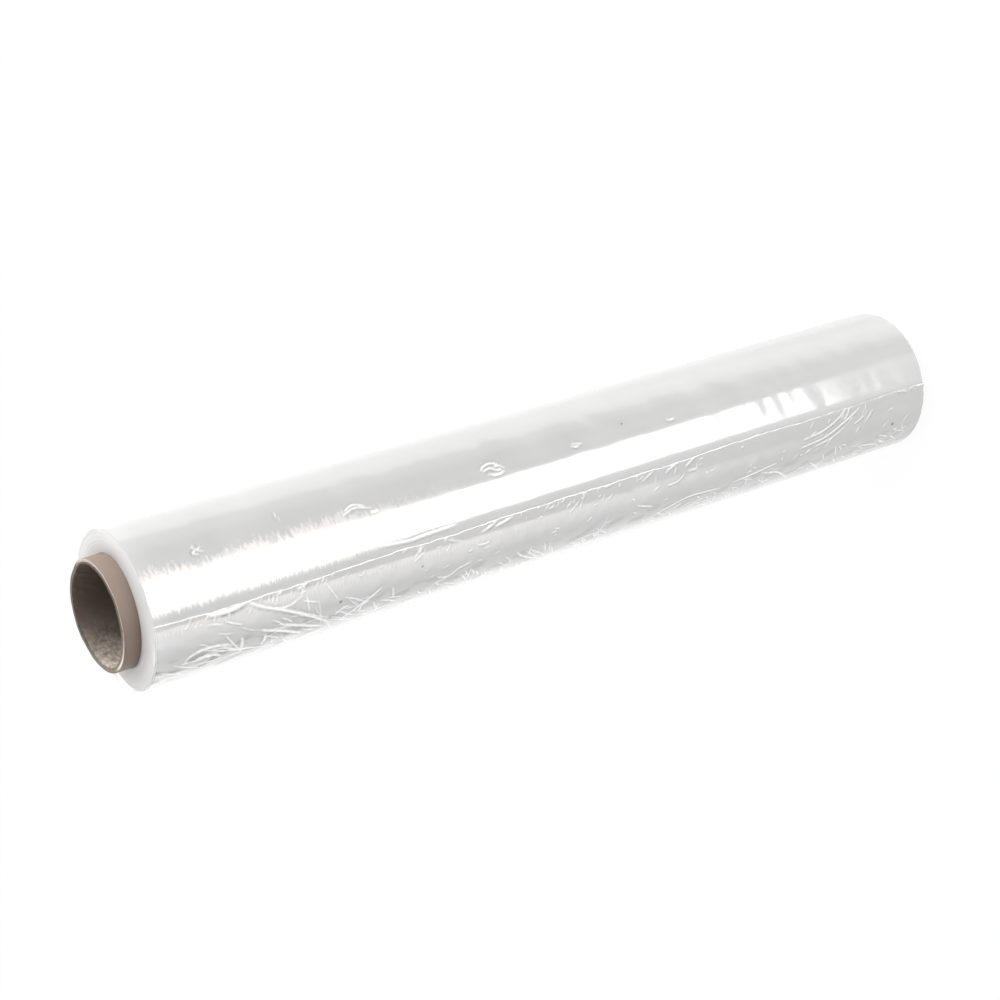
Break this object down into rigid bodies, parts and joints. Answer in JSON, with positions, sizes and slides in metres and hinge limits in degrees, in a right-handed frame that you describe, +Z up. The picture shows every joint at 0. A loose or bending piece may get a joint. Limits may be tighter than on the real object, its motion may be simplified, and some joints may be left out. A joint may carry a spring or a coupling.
{
  "type": "stretch wrap roll",
  "caption": "Hand roll of clear stretch film wound on a plain cardboard core that stands out at both ends, with a wrinkled free end stuck down along its side.",
  "frame": {"origin": "middle of the core's lower end, on which the roll stands", "axes": "+Z up along the core, -Y towards the front, where the film's free edge runs down the side"},
  "size_m": [0.0805, 0.0803, 0.5194],
  "materials": {
    "cardboard": "matte brown core board",
    "clear_film": "glossy milky white, many layers of clear film"
  },
  "bodies": {
    "root": {"core": "cardboard", "film": "clear_film"}
  },
  "joints": []
}
